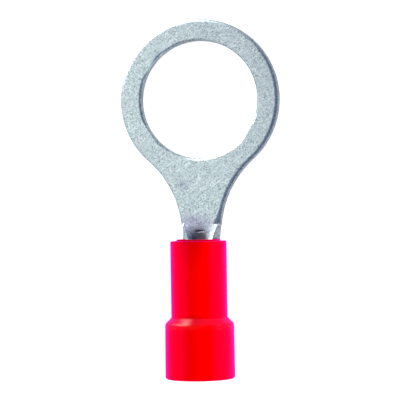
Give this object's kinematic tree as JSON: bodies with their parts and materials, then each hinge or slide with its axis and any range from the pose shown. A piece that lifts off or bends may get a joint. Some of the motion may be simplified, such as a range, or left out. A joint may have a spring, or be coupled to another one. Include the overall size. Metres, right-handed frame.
{
  "type": "insulated ring terminal",
  "caption": "Ring terminal for a stud, with a rolled wire barrel in a moulded insulating sleeve that has a wider wire entry.",
  "frame": {"origin": "centre of the stud hole, on the underside of the ring", "axes": "+Z along the stud's axis, to the side that the barrel's seam faces; +Y from the wire to the tip of the ring; +X to the right"},
  "size_m": [0.0114, 0.0255, 0.0049],
  "materials": {
    "tinned_copper": "satin",
    "red_vinyl": "gloss"
  },
  "bodies": {
    "root": {"terminal": "tinned_copper", "sleeve": "red_vinyl"}
  },
  "joints": []
}
